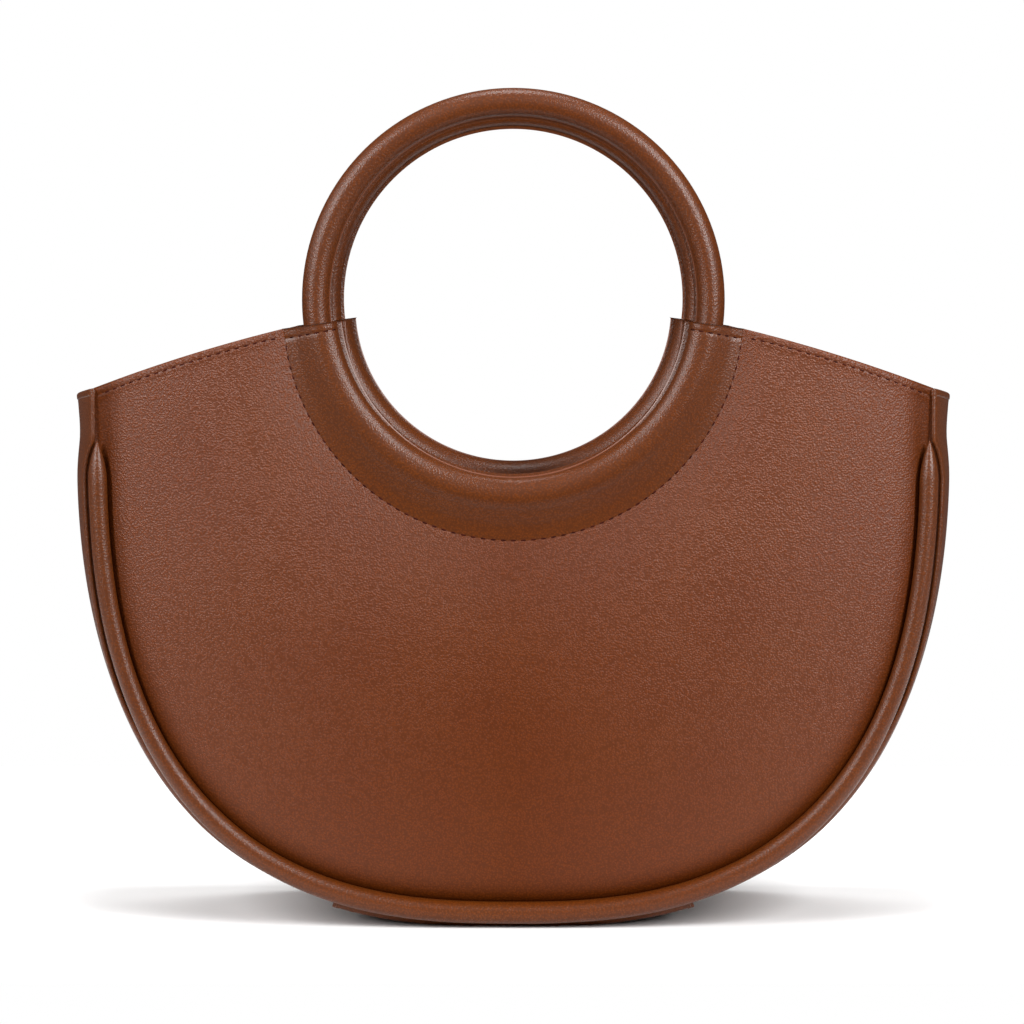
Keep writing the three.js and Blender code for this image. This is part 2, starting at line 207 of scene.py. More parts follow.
# Photograph's camera, with its focal length and its horizon's height above the middle in pixels
FOCAL_PIXELS = 3823
HORIZON_PIXELS = 232
CAMERA_PLACE = (-0.47 * MM, -1380.6 * MM, 227.84 * MM)
CAMERA_TILT = math.atan(HORIZON_PIXELS / FOCAL_PIXELS)
CAMERA_LENS = 134.4
CAMERA_SENSOR = 36

# Sheet of paper on the floor, which ends where the lights still make it as white as the backdrop
FLOOR_HALF_WIDTH = 0.6
FLOOR_FRONT = -0.15
FLOOR_BACK = 0.4

# Studio lights: watts, place, width and height in metres, and whether the leather mirrors them
LIGHTS = {
    "top_softbox": (10, (0, 0, 1.5), (0.4, 0.3), True),
    "rear_softbox": (8, (0, 0.8, 1.2), (1, 0.4), False),
    "side_softbox": (5.4, (-1.4, -0.3, 0.9), (0.9, 0.9), True),
    "left_strip": (8, (-0.6, -0.65, 0.55), (0.12, 0.6), True),
    "right_strip": (10.7, (0.52, -0.65, 0.55), (0.12, 0.6), True),
}
LIGHTS_AIM = (0, 0, 0.13)
ROOM_FILL = 0.23  # strength of the dim room round the bag
ROOM_MIRRORED = 0.08  # and of its dark walls, as glossy leather mirrors them

# Leather
TO_UPPER_CORNER = 215 * MM  # distance sideways plus half the height, near an upper corner of the bag
CLOUD_SIZE = 38 * MM  # of the patches in which its colour changes at random

WELD = 1e-6
SHARP_ANGLE = math.radians(50)


def linear(hex_colour):
    """Linear colour from an sRGB hex value"""
    parts = [int(hex_colour[i:i + 2], 16) / 255 for i in (1, 3, 5)]
    return tuple(c / 12.92 if c <= 0.04045 else ((c + 0.055) / 1.055) ** 2.4 for c in parts)


def length(name, description, millimetres):
    """Length in the sidebar"""
    return FloatProperty(
        name=name, description=description, default=millimetres * MM, unit="LENGTH", precision=5)


def colour(name, description, hex_colour):
    """Colour in the sidebar"""
    return FloatVectorProperty(
        name=name, description=description, default=linear(hex_colour), subtype="COLOR", min=0, max=1)


class HandbagSizes(bpy.types.PropertyGroup):
    """Sizes that the bag is worked out from"""
    half_width: length("Half width", "From the middle to the piping's centre line", 146)
    half_depth: length("Half depth", "From the middle to the plane of a piping and a ring", 45)
    shoulder_height: length("Shoulder height", "Height at which the piping ends in a point", 172)
    lowest: length("Lowest", "Height of the piping's centre line at the bottom", 5.4)
    corner_height: length("Corner height", "Height of the top corners", 190.1)
    belly: length("Belly", "How far the middle of a panel swells", 9)
    leather: length("Leather", "Thickness of the leather walls", 1.8)
    piping_radius: length("Piping radius", "Half the thickness of the padded piping", 3.9)
    ring_height: length("Ring height", "Height of the middle of a ring", 220.8)
    ring_radius: length("Ring radius", "From the middle of a ring to the middle of its tube", 68.9)
    tube_radius: length("Tube radius", "Half the thickness of a ring's tube", 4.85)
    stitch_pitch: length("Stitch pitch", "From one stitch to the next", 3.3)


class HandbagColours(bpy.types.PropertyGroup):
    """Colours of the bag and of the floor"""
    grained: colour("Grained leather", "Colour of the panels", "#5e2a07")
    smooth: colour("Smooth leather", "Colour of the piping, gussets, collars and rings", "#5c2b07")
    edge_paint: colour("Edge paint", "Colour of the painted cut edges", "#6b3c27")
    thread: colour("Thread", "Colour of the stitches", "#32100a")
    floor: colour("Floor", "Colour of the studio floor", "#f4f4f4")


def lerp(a, b, share):
    return a + (b - a) * share


def clamp(value):
    return min(max(value, 0), 1)


def smoothstep(low, high, value):
    share = clamp((value - low) / (high - low))
    return share * share * (3 - 2 * share)


def arch(share):
    """0 at both ends of a share from 0 to 1, and 1 at its middle"""
    return 4 * share * (1 - share)


def rounded(distance, radius):
    """Share of its full thickness that a rounded edge has at a distance from its end"""
    return math.sqrt(1 - (1 - distance / radius) ** 2) if distance < radius else 1


def groove(distance):
    """Depth to which the thread draws the leather in, at a distance from an edge that is hemmed"""
    return GROOVE_DEPTH * math.exp(-(((distance - HEM_STITCH) / GROOVE_WIDTH) ** 2))


def curve_through(points, steps):
    """Smooth curve through points in a plane, with this many steps between each two"""
    ends = [points[0], *points, points[-1]]
    curve = []
    for a, b, c, d in zip(ends, ends[1:], ends[2:], ends[3:]):
        for step in range(steps):
            t = step / steps
            curve.append(tuple(
                0.5 * (2 * q + (r - p) * t + (2 * p - 5 * q + 4 * r - s) * t**2
                       + (3 * q - p - 3 * r + s) * t**3)
                for p, q, r, s in zip(a, b, c, d)))
    return [*curve, points[-1]]


class Bag:
    """Curves that the pieces share, worked out from the sizes in the sidebar"""

    def __init__(self, sizes):
        self.sizes = sizes
        self.turns = [math.pi * (i / OUTLINE_SAMPLES - 0.5) for i in range(OUTLINE_SAMPLES + 1)]
        points = [self.half_moon(turn) for turn in self.turns]
        self.lengths = list(accumulate(((b - a).length for a, b in zip(points, points[1:])), initial=0))
        self.half_length = self.lengths[-1] / 2
        self.top_length = self.half_length + sizes.corner_height - sizes.shoulder_height

    def half_moon(self, turn):
        """Lower edge of the bag, turned from the left tip to the right one"""
        s = self.sizes
        across = math.copysign(abs(math.sin(turn)) ** (2 / OUTLINE_POWER), turn)
        down = abs(math.cos(turn)) ** (2 / OUTLINE_POWER)
        return Vector((s.half_width * across, 0, lerp(s.shoulder_height, s.lowest, down)))

    def outline(self, place):
        """Point of the edge and its outward direction, at a length from the middle of the bottom"""
        s = self.sizes
        beyond_tip = abs(place) - self.half_length
        if beyond_tip >= 0:
            side = math.copysign(1, place)
            return Vector((side * s.half_width, 0, s.shoulder_height + beyond_tip)), Vector((side, 0, 0))
        from_start = place + self.half_length
        i = min(bisect_right(self.lengths, from_start), OUTLINE_SAMPLES) - 1
        share = (from_start - self.lengths[i]) / (self.lengths[i + 1] - self.lengths[i])
        turn = lerp(self.turns[i], self.turns[i + 1], share)
        ahead = self.half_moon(min(turn + OUTLINE_STEP, math.pi / 2))
        along = (ahead - self.half_moon(max(turn - OUTLINE_STEP, -math.pi / 2))).normalized()
        return self.half_moon(turn), Vector((along.z, 0, -along.x))

    def outline_place(self, x):
        """Length from the middle of the bottom at which the edge is this far to the right"""
        down = (1 - (x / self.sizes.half_width) ** OUTLINE_POWER) ** 0.5
        turn = math.acos(down)
        i = bisect_right(self.turns, turn) - 1
        share = (turn - self.turns[i]) / (self.turns[i + 1] - self.turns[i])
        return lerp(self.lengths[i], self.lengths[i + 1], share) - self.half_length

    def piping_radius(self, place):
        """Full along the edge, and drawn in to a point at each tip"""
        to_tip = clamp((self.half_length - abs(place)) / PIPING_TIP_LENGTH)
        return self.sizes.piping_radius * (1 - (1 - to_tip) ** 2)

    def collar_angle(self, part, radius):
        """Angle round the ring at a part of the collar, from -1 at its left end to 1 at its right one"""
        share = (radius - COLLAR_INNER_RADIUS) / (SEAM_ARC_RADIUS - COLLAR_INNER_RADIUS)
        end = lerp(COLLAR_INNER_END, COLLAR_OUTER_END, share)
        return -math.pi / 2 + part * (math.pi / 2 + end)

    def seam(self, part, clearance):
        """Point of the seam between collar and panel, and its distance from the ring's middle"""
        angle = self.collar_angle(part, SEAM_ARC_RADIUS)
        arc = SEAM_ARC_RADIUS + clearance
        reach = math.sqrt(arc**2 - (SEAM_ARC_DROP * math.cos(angle)) ** 2) - SEAM_ARC_DROP * math.sin(angle)
        z = self.sizes.ring_height + reach * math.sin(angle)
        return Vector((reach * math.cos(angle), 0, z)), reach

    def panel_top(self, share):
        """Upper edge of a panel, from -1 at its left corner to 1 at its right one"""
        s = self.sizes
        side = math.copysign(1, share)
        part = abs(share)
        if part <= PANEL_ARC_SHARE:
            return self.seam(share / PANEL_ARC_SHARE, SEAM_GAP / 2)[0]
        along = (part - PANEL_ARC_SHARE) / (1 - PANEL_ARC_SHARE)
        corner = Vector((side * (s.half_width + TIP_REACH), 0, s.corner_height))
        point = self.seam(side, SEAM_GAP / 2)[0].lerp(corner, along)
        point.z += TOP_EDGE_BOW * arch(along)
        return point


def add_node(tree, kind, settings=None, inputs=None):
    """Add a node with its settings, and set each input to a value or link it to an output"""
    node = tree.nodes.new(kind)
    for name, value in (settings or {}).items():
        setattr(node, name, value)
    for key, value in (inputs or {}).items():
        if isinstance(value, bpy.types.NodeSocket):
            tree.links.new(value, node.inputs[key])
        else:
            node.inputs[key].default_value = value
    return node


def new_material(name):
    """Empty material, or None where it has been made already"""
    if name in bpy.data.materials:
        return None
    material = bpy.data.materials.new(name)
    material.use_nodes = True
    material.node_tree.nodes.clear()
    return material


def shade(colour_value, factor):
    """Lighter or darker colour for a node's socket"""
    return (*(min(part * factor, 1) for part in colour_value), 1)


# Inputs of a Mix node that is set to colours, and its output
MIX_FACTOR, MIX_A, MIX_B, MIX_RESULT = 0, 6, 7, 2


def leather(name, base, pebble, relief, stretched, roughness, gloss, painted_light, tight_edge_with_painted_shade=False):
    """Drum-dyed cowhide with a satin finish: pebbles that catch the light, darker pores between them and a
    slow change of colour across the hide. Low in the middle of the bag, where it is stretched and handled
    most, only a share of its relief is left, and its gloss has its first value; at the upper corners it has
    its second.
    Along the same way the colour is scaled from a first to a second value, as painted light: painted shade or
    painted sheen by height. Roughness has a value for the pebbles and one for the pores. Where the leather is
    drawn tight along the bag's edge it is smoother and duller, and its colour is painted darker there as
    shade."""
    material = new_material(name)
    if material is None:
        return bpy.data.materials[name]
    tree = material.node_tree
    place = add_node(tree, "ShaderNodeTexCoord").outputs["Object"]
    wander = add_node(tree, "ShaderNodeTexNoise", inputs={
        "Vector": place, "Scale": 1 / (2.6 * pebble), "Detail": 2.0})
    bent = add_node(tree, "ShaderNodeVectorMath", {"operation": "MULTIPLY_ADD"}, {
        0: wander.outputs["Color"], 1: (pebble * 0.9,) * 3, 2: place})
    cells = add_node(tree, "ShaderNodeTexVoronoi", {"feature": "SMOOTH_F1"}, {
        "Vector": bent.outputs["Vector"], "Scale": 1 / pebble, "Smoothness": 0.35, "Randomness": 0.9})
    domes = add_node(tree, "ShaderNodeMapRange", {"interpolation_type": "SMOOTHSTEP"}, {
        "Value": cells.outputs["Distance"], "From Min": 0.05, "From Max": 0.72, "To Min": 1.0, "To Max": 0.0})
    pores = add_node(tree, "ShaderNodeTexNoise", inputs={
        "Vector": place, "Scale": 1 / (0.35 * pebble), "Detail": 2.0})
    spot = add_node(tree, "ShaderNodeSeparateXYZ", inputs={"Vector": place})
    sideways = add_node(tree, "ShaderNodeMath", {"operation": "ABSOLUTE"}, {0: spot.outputs["X"]})
    to_corner = add_node(tree, "ShaderNodeMath", {"operation": "MULTIPLY_ADD"}, {
        0: spot.outputs["Z"], 1: 0.5, 2: sideways.outputs["Value"]})
    # The third map scales the colour by height and sideways place: painted shade and painted sheen, not the
    # hide's own colour
    depth, polish, painted_light_factor = (add_node(tree, "ShaderNodeMapRange", inputs={
        "Value": to_corner.outputs["Value"], "From Max": TO_UPPER_CORNER, "To Min": low, "To Max": high})
        for low, high in ((stretched, 1.0), gloss, painted_light))
    if tight_edge_with_painted_shade:
        distance = add_node(tree, "ShaderNodeAttribute", {"attribute_name": FROM_OUTLINE})
        loose = add_node(tree, "ShaderNodeMapRange", {"interpolation_type": "SMOOTHSTEP"}, {
            "Value": distance.outputs["Fac"], "From Min": EDGE_TIGHT[0], "From Max": EDGE_TIGHT[1],
            "To Min": EDGE_TIGHT_SHARE})
        # Near the edge the colour is darkened as painted shade in the crease beside the piping
        painted_edge_shade = add_node(tree, "ShaderNodeMath", {"operation": "POWER"}, {
            0: loose.outputs["Result"], 1: EDGE_PAINTED_SHADE})
        depth, polish, painted_light_factor = (add_node(tree, "ShaderNodeMath", {"operation": "MULTIPLY"}, {
            0: share.outputs["Result"], 1: tight.outputs[0]})
            for share, tight in ((depth, loose), (polish, loose), (painted_light_factor, painted_edge_shade)))
    grain = add_node(tree, "ShaderNodeMath", {"operation": "MULTIPLY"}, {
        0: domes.outputs["Result"], 1: depth.outputs[0]})
    height = add_node(tree, "ShaderNodeMath", {"operation": "MULTIPLY_ADD"}, {
        0: pores.outputs["Fac"], 1: 0.35, 2: grain.outputs["Value"]})
    bump = add_node(tree, "ShaderNodeBump", inputs={
        "Strength": 1.0, "Distance": relief, "Height": height.outputs["Value"]})
    worn = add_node(tree, "ShaderNodeMapRange", inputs={
        "Value": grain.outputs["Value"], "From Min": 0.0, "From Max": 0.9,
        "To Min": roughness[1], "To Max": roughness[0]})
    pored = add_node(tree, "ShaderNodeMix", {"data_type": "RGBA"}, {
        MIX_FACTOR: domes.outputs["Result"], MIX_A: shade(base, 0.7), MIX_B: shade(base, 1.12)})
    cloud = add_node(tree, "ShaderNodeTexNoise", inputs={
        "Vector": place, "Scale": 1 / CLOUD_SIZE, "Detail": 3.0, "Roughness": 0.55})
    toned = add_node(tree, "ShaderNodeMapRange", inputs={
        "Value": cloud.outputs["Fac"], "From Min": 0.35, "From Max": 0.65, "To Min": 0.0, "To Max": 0.3})
    hide = add_node(tree, "ShaderNodeMix", {"data_type": "RGBA", "blend_type": "MULTIPLY"}, {
        MIX_FACTOR: toned.outputs["Result"], MIX_A: pored.outputs[MIX_RESULT], MIX_B: (0.85, 0.7, 0.6, 1)})
    # Colour scaled by that painted light: painted shade and painted sheen
    colour_with_painted_light = add_node(tree, "ShaderNodeVectorMath", {"operation": "SCALE"}, {
        0: hide.outputs[MIX_RESULT], "Scale": painted_light_factor.outputs[0]})
    shader = add_node(tree, "ShaderNodeBsdfPrincipled", inputs={
        "Base Color": colour_with_painted_light.outputs["Vector"], "Roughness": worn.outputs["Result"],
        "Normal": bump.outputs["Normal"], "IOR": 1.46, "Specular IOR Level": polish.outputs[0]})
    add_node(tree, "ShaderNodeOutputMaterial", inputs={"Surface": shader.outputs["BSDF"]})
    return material


def edge_paint(base):
    """Brushed acrylic edge paint on cut leather: paler than the hide, smooth and a little uneven"""
    material = new_material("painted_leather_edge")
    if material is None:
        return bpy.data.materials["painted_leather_edge"]
    tree = material.node_tree
    place = add_node(tree, "ShaderNodeTexCoord").outputs["Object"]
    brush = add_node(tree, "ShaderNodeTexNoise", inputs={
        "Vector": place, "Scale": 1 / (1.6 * MM), "Detail": 3.0})
    coat = add_node(tree, "ShaderNodeMix", {"data_type": "RGBA"}, {
        MIX_FACTOR: brush.outputs["Fac"], MIX_A: shade(base, 0.8), MIX_B: shade(base, 1.15)})
    bump = add_node(tree, "ShaderNodeBump", inputs={
        "Strength": 0.4, "Distance": 0.08 * MM, "Height": brush.outputs["Fac"]})
    shader = add_node(tree, "ShaderNodeBsdfPrincipled", inputs={
        "Base Color": coat.outputs[MIX_RESULT], "Roughness": 0.38, "Normal": bump.outputs["Normal"]})
    add_node(tree, "ShaderNodeOutputMaterial", inputs={"Surface": shader.outputs["BSDF"]})
    return material


def thread(base):
    """Bonded polyester thread: dark and nearly matt, with the slant of its twisted strands"""
    material = new_material("bonded_polyester_thread")
    if material is None:
        return bpy.data.materials["bonded_polyester_thread"]
    tree = material.node_tree
    place = add_node(tree, "ShaderNodeTexCoord").outputs["Object"]
    # Strands lie 0.3 mm apart, and one turn of the wave is drawn for each
    strands = add_node(tree, "ShaderNodeTexWave", {"bands_direction": "DIAGONAL"}, {
        "Vector": place, "Scale": 1 / (0.3 * MM) / 20, "Distortion": 0.4})
    twist = add_node(tree, "ShaderNodeMix", {"data_type": "RGBA"}, {
        MIX_FACTOR: strands.outputs["Fac"], MIX_A: shade(base, 0.7), MIX_B: shade(base, 1.25)})
    bump = add_node(tree, "ShaderNodeBump", inputs={
        "Strength": 0.5, "Distance": 0.06 * MM, "Height": strands.outputs["Fac"]})
    shader = add_node(tree, "ShaderNodeBsdfPrincipled", inputs={
        "Base Color": twist.outputs[MIX_RESULT], "Roughness": 0.6, "Normal": bump.outputs["Normal"],
        "Specular IOR Level": 0.05})
    add_node(tree, "ShaderNodeOutputMaterial", inputs={"Surface": shader.outputs["BSDF"]})
    return material


def grained_leather(colours):
    # Panels: colour painted lighter at the upper corners as sheen, and darker low in the middle and beside
    # the piping as shade
    return leather("grained_cowhide", colours.grained, pebble=0.72 * MM, relief=0.19 * MM, stretched=0.42,
                   roughness=(0.34, 0.46), gloss=(0.13, 0.5), painted_light=(0.93, 1.19), tight_edge_with_painted_shade=True)


def smooth_leather(colours):
    # Smooth leather: colour painted a little darker towards the upper corners, as shade
    return leather("smooth_cowhide", colours.smooth, pebble=0.75 * MM, relief=0.06 * MM, stretched=1.0,
                   roughness=(0.33, 0.42), gloss=(0.25, 0.46), painted_light=(1.0, 0.97))


def bend_grid(bm, columns, rows, place, painted=()):
    """Add a grid and bend it: place(i, j) gives each of its points. The steps of rows that are listed as
    painted show edge paint."""
    made = bmesh.ops.create_grid(bm, x_segments=columns, y_segments=rows, size=1)["verts"]
    for face in {face for vert in made for face in vert.link_faces}:
        step = int((face.calc_center_median().y + 1) / 2 * rows)
        face.material_index = 1 if step in painted else 0
    for vert in made:
        i = round((vert.co.x + 1) / 2 * columns)
        j = round((vert.co.y + 1) / 2 * rows)
        vert.co = place(i, j)
    return made


def close_ends(bm):
    """Weld what meets and cap each open end"""
    bmesh.ops.remove_doubles(bm, verts=bm.verts, dist=WELD)
    bmesh.ops.dissolve_degenerate(bm, edges=bm.edges, dist=WELD)
    rims = [edge for edge in bm.edges if edge.is_boundary]
    if rims:
        bmesh.ops.holes_fill(bm, edges=rims, sides=0)
    bmesh.ops.recalc_face_normals(bm, faces=bm.faces)


def add_piece(bm, name, materials, node=None, turned=False):
    """Make an object of a finished mesh, turned to the back where asked, and hang it on the frame"""
    if turned:
        bmesh.ops.rotate(bm, verts=bm.verts, matrix=Matrix.Rotation(math.pi, 3, "Z"))
    for face in bm.faces:
        face.smooth = True
    for edge in bm.edges:
        edge.smooth = edge.calc_face_angle(0) < SHARP_ANGLE
    mesh = bpy.data.meshes.new(name)
    bm.to_mesh(mesh)
    bm.free()
    for material in materials:
        mesh.materials.append(material)
    piece = bpy.data.objects.new(name, mesh)
    bpy.context.scene.collection.objects.link(piece)
    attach(piece, "root")
    if node:
        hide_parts(node)
    return piece


def panel_rows(height):
    """Distances from the upper edge of a panel's column to its rows, close together at both ends"""
    most = SHORT_COLUMN_SHARE * height
    scale = min(1, most / (HEM_ROWS[-1] + CREASE_ROWS[-1]))
    upper = [row * scale for row in HEM_ROWS]
    lower = [height - row * scale for row in reversed(CREASE_ROWS)]
    steps = PANEL_MIDDLE_ROWS + 1
    middle = [lerp(upper[-1], lower[0], i / steps) for i in range(1, steps)]
    return upper + middle + lower


def from_outline(sizes, point):
    """Distance from a point of a panel to the bag's outline, nearly"""
    across = abs(point.x) / sizes.half_width
    down = max(sizes.shoulder_height - point.z, 0) / (sizes.shoulder_height - sizes.lowest)
    level = (across**OUTLINE_POWER + down**OUTLINE_POWER) ** (1 / OUTLINE_POWER)
    return sizes.half_width * max(1 - level, 0)


def panel_swell(bag, point):
    """How far a panel's face stands forward of its plane, most midway between its edge and the collar"""
    s = bag.sizes
    across = min(abs(point.x) / s.half_width, 1)
    from_edge = from_outline(s, point)
    from_seam = math.hypot(point.x, point.z - s.ring_height + SEAM_ARC_DROP) - SEAM_ARC_RADIUS
    from_seam = max(from_seam, WELD)
    fullness = arch(from_edge / (from_edge + from_seam))
    belly = s.belly * math.sqrt(1 - across**2) * fullness
    slack = SLACK * fullness * noise.noise(point / SLACK_SIZE)
    return belly + slack + SEAM_RISE * math.exp(-from_seam / SEAM_RISE_SPREAD)


def panel_section(bag, share):
    """Loop round the panel's wall in one column: up its outer face, over the hem and down its inner face"""
    s = bag.sizes
    place = share * bag.half_length
    edge, outward = bag.outline(place)
    radius = bag.piping_radius(place)
    fullness = radius / s.piping_radius
    rolled = lerp(EDGE_ROLL_AT_TIP, 1, fullness)
    low = edge - outward * (radius * (1 - EDGE_REACH) + lerp(-TIP_REACH, GAP, fullness))
    high = bag.panel_top(share)
    drop = low - high
    along_top = max(0, abs(share) - PANEL_ARC_SHARE) / (1 - PANEL_ARC_SHARE)
    hemmed = smoothstep(0, HEM_FADE, along_top)
    outer = []
    inner = []
    for down in panel_rows(drop.length):
        point = high + drop * (down / drop.length)
        from_edge = (low - point).dot(outward)
        roll = EDGE_ROLL * rolled * math.exp(-from_edge / EDGE_ROLL_WIDTH)
        middle = s.half_depth + panel_swell(bag, point) - roll - s.leather / 2
        band = HEM_EXTRA * hemmed * (1 - smoothstep(*HEM_STEP, down))
        half = (s.leather + band) / 2
        butted = 1 - SEAM_DIP * (1 - rounded(down, SEAM_ROUND))
        bulk = half * lerp(butted, rounded(down, half), hemmed)
        outer.append(Vector((point.x, -(middle + bulk - hemmed * groove(down)), point.z)))
        inner.append(Vector((point.x, -(middle - bulk), point.z)))
    outer.reverse()
    return [*outer, *inner[1:], outer[0]]


def panel_shares():
    """Columns of a panel, with one exactly where the collar ends"""
    half = [PANEL_ARC_SHARE * i / PANEL_ARC_COLUMNS for i in range(PANEL_ARC_COLUMNS)]
    half += [lerp(PANEL_ARC_SHARE, 1, i / PANEL_TOP_COLUMNS) for i in range(PANEL_TOP_COLUMNS + 1)]
    return [-share for share in reversed(half[1:])] + half


class HANDBAG_OT_panels(bpy.types.Operator):
    """Model the grained front and back panels"""
    bl_idname = "handbag.panels"
    bl_label = "Panels"

    def execute(self, context):
        bag = Bag(context.scene.handbag_sizes)
        material = grained_leather(context.scene.handbag_colours)
        sections = [panel_section(bag, share) for share in panel_shares()]
        for side in ("front", "back"):
            bm = bmesh.new()
            bend_grid(bm, len(sections) - 1, len(sections[0]) - 1, lambda i, j: sections[i][j])
            close_ends(bm)
            distance = bm.verts.layers.float.new(FROM_OUTLINE)
            for vert in bm.verts:
                vert[distance] = from_outline(bag.sizes, vert.co)
            name = f"{side}_panel"
            add_piece(bm, f"{name}_leather", [material], name, side == "back")
        return {"FINISHED"}


def piping_point(bag, i, j):
    """Point of the padded roll, at a step along it and a step round it"""
    s = bag.sizes
    share = lerp(-1, 1, i / PIPING_STEPS)
    # The steps are closer together towards both tips
    place = bag.half_length * (share + math.sin(math.pi / 2 * share)) / 2
    point, outward = bag.outline(place)
    turn = 2 * math.pi * j / PIPING_SIDES
    round_it = outward * math.cos(turn) + Vector((0, math.sin(turn), 0))
    uneven = 1 + PIPING_UNEVEN * noise.noise((point + round_it * s.piping_radius) / PIPING_UNEVEN_SIZE)
    beside_lip = smoothstep(*UP_THE_SIDES, point.z)
    slimness = 1 - beside_lip * PIPING_SLIMMER / s.piping_radius
    middle = point - outward * beside_lip * PIPING_DRAWN_IN - Vector((0, s.half_depth, 0))
    return middle + round_it * bag.piping_radius(place) * uneven * slimness


class HANDBAG_OT_pipings(bpy.types.Operator):
    """Model the padded piping round the front and the back"""
    bl_idname = "handbag.pipings"
    bl_label = "Pipings"

    def execute(self, context):
        bag = Bag(context.scene.handbag_sizes)
        material = smooth_leather(context.scene.handbag_colours)
        for side in ("front", "back"):
            bm = bmesh.new()
            bend_grid(bm, PIPING_STEPS, PIPING_SIDES, lambda i, j: piping_point(bag, i, j % PIPING_SIDES))
            close_ends(bm)
            name = f"{side}_piping"
            piece = add_piece(bm, f"{name}_roll", [material], name, side == "back")
        return {"FINISHED"}


def gusset_offset(bag, place, z, across):
    """How far the gusset's outer face stands out from the edge of the bag"""
    fullness = bag.piping_radius(place) / bag.sizes.piping_radius
    lip_beside_piping = lerp(LIP_AT_BASE, LIP_AT_SIDE, smoothstep(*LIP_RISE, z))
    lip = lerp(LIP_AT_TIP, lip_beside_piping, fullness)
    bulge = lerp(BASE_BULGE, SIDE_BULGE, smoothstep(*BULGE_RISE, z))
    bulge -= PINCH * math.exp(-(((z - PINCH_HEIGHT) / PINCH_SPREAD) ** 2))
    offset = lerp(bulge, lip, abs(across) ** BULGE_POWER)
    from_edge = (1 - abs(across)) * bag.sizes.half_depth
    turned = 1 - rounded(from_edge, LIP_TURN_WIDTH)
    turned_in = lerp(LIP_TURNED_IN, lip, smoothstep(*UP_THE_SIDES, z))
    return lerp(offset, lerp(lip, turned_in, fullness), turned)


def gusset_section(bag, start, end, row, dropped):
    """Loop round the gusset's wall in one row: across its outer face and back across its inner face.
    A row is a share of the strip's length, a step in from it, a distance from a hem and a seam's height."""
    s = bag.sizes
    share, inset, from_hem, raised = row
    edge_shares = list(GUSSET_EDGE_SHARES)
    inside = edge_shares[-1]
    columns = edge_shares + [inside * (1 - 2 * i / GUSSET_COLUMNS) for i in range(1, GUSSET_COLUMNS)]
    columns += [-across for across in reversed(edge_shares)]

    def dipped(place, across):
        dip = HEM_DIP * (1 - across**2) if abs(place) > bag.half_length else 0
        return place - math.copysign(dip, place)

    def face(across, out):
        place = lerp(dipped(start, across), dipped(end, across), share) + inset
        point, outward = bag.outline(place)
        folded = 1 - smoothstep(GUSSET_HEM - GUSSET_HEM_SLOPE, GUSSET_HEM + GUSSET_HEM_SLOPE, from_hem)
        drawn_in = GUSSET_HEM_DEPTH * math.exp(-(((from_hem - GUSSET_HEM) / GUSSET_HEM_LINE) ** 2))
        half = (s.leather + HEM_EXTRA * folded) / 2
        edge_z = point.z
        offset = gusset_offset(bag, place, edge_z, across) + dropped - s.leather / 2
        from_side = (1 - abs(across)) * s.half_depth
        bulk = half * rounded(from_hem, half) * rounded(from_side, half)
        if out:
            offset += bulk - drawn_in + raised
        else:
            offset -= bulk
        point += outward * offset
        behind = bag.piping_radius(place) * (1 - LIP_FORWARD * smoothstep(*UP_THE_SIDES, edge_z))
        point.y = across * (s.half_depth - behind - GAP)
        point.z = max(point.z, 0 if out else s.leather)
        return point

    outer = [face(across, True) for across in columns]
    inner = [face(across, False) for across in reversed(columns)]
    return [*outer, *inner, outer[0]]


def gusset_rows(count, strip_length, hem_at_end, seam_height):
    """Rows of a strip from its start to its end"""

    def fin(distance):
        sides = smoothstep(STANDING_SEAM_LAYER - STANDING_SEAM_FILLET / 2,
                           STANDING_SEAM_LAYER + STANDING_SEAM_FILLET / 2, distance)
        return seam_height * (1 - sides)

    start = [(0, distance, FAR_FROM_HEM, fin(distance)) for distance in SEAM_ROWS]
    if hem_at_end:
        end = [(1, -distance, distance, 0) for distance in reversed(GUSSET_HEM_ROWS)]
    else:
        end = [(1, -distance, FAR_FROM_HEM, fin(distance)) for distance in reversed(SEAM_ROWS)]
    first = start[-1][1] / strip_length
    last = 1 + end[0][1] / strip_length
    middle = [(lerp(first, last, i / count), 0, FAR_FROM_HEM, 0) for i in range(1, count)]
    return start + middle + end


class HANDBAG_OT_gussets(bpy.types.Operator):
    """Model the two side gussets and the base gusset between the panels"""
    bl_idname = "handbag.gussets"
    bl_label = "Gussets"

    def execute(self, context):
        bag = Bag(context.scene.handbag_sizes)
        material = smooth_leather(context.scene.handbag_colours)
        seam = bag.outline_place(STANDING_SEAM_X)
        side_start = seam + SEAM_GAP
        base_end = seam - SEAM_GAP
        side_rows = gusset_rows(SIDE_GUSSET_ROWS, bag.top_length - side_start, True, STANDING_SEAM_HEIGHT)
        base_rows = gusset_rows(BASE_GUSSET_ROWS, 2 * base_end, False, STANDING_SEAM_HEIGHT - BASE_DROP)
        strips = (
            ("gusset_right", side_start, bag.top_length, side_rows, 0, False),
            ("base_gusset", -base_end, base_end, base_rows, BASE_DROP, False),
            ("gusset_left", side_start, bag.top_length, side_rows, 0, True),
        )
        for name, start, end, rows, dropped, turned in strips:
            sections = [gusset_section(bag, start, end, row, dropped) for row in rows]
            bm = bmesh.new()
            bend_grid(bm, len(sections) - 1, len(sections[0]) - 1, lambda i, j: sections[i][j])
            close_ends(bm)
            add_piece(bm, f"{name}_strip", [material], name, turned)
        return {"FINISHED"}


